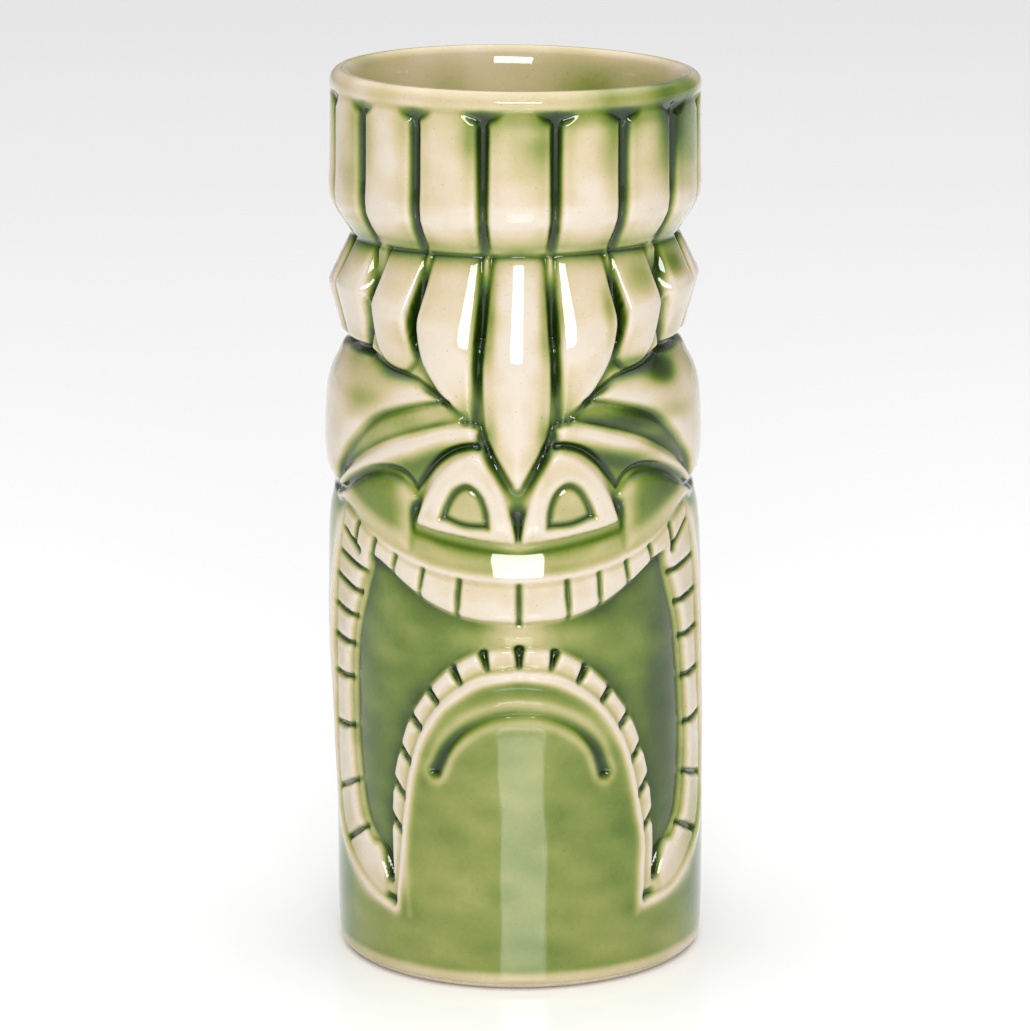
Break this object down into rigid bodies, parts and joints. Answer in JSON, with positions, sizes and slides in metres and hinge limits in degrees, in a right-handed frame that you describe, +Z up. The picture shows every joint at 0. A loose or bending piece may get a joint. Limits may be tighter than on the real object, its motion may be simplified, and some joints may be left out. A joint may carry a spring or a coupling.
{
  "type": "tiki mug",
  "caption": "Tall handleless ceramic bar mug with a headdress band, brow, eyes, nose and a wide toothed mouth in relief, glazed green and cream.",
  "frame": {"origin": "middle of the foot, on the surface that the mug stands on", "axes": "+Z up along the mug's axis; the face looks along -Y; +X is on the right of someone who looks at the face"},
  "size_m": [0.0708, 0.071, 0.168],
  "materials": {
    "bare_clay": "unglazed fired earthenware, matte",
    "green_cream_glaze": "glossy translucent green glaze, thin and cream on high points, dark where it pools",
    "liner_glaze": "glossy cream glaze with an olive tint"
  },
  "bodies": {
    "root": {"earthenware_body": "bare_clay", "outer_glaze": "green_cream_glaze", "liner_glaze": "liner_glaze"}
  },
  "joints": []
}
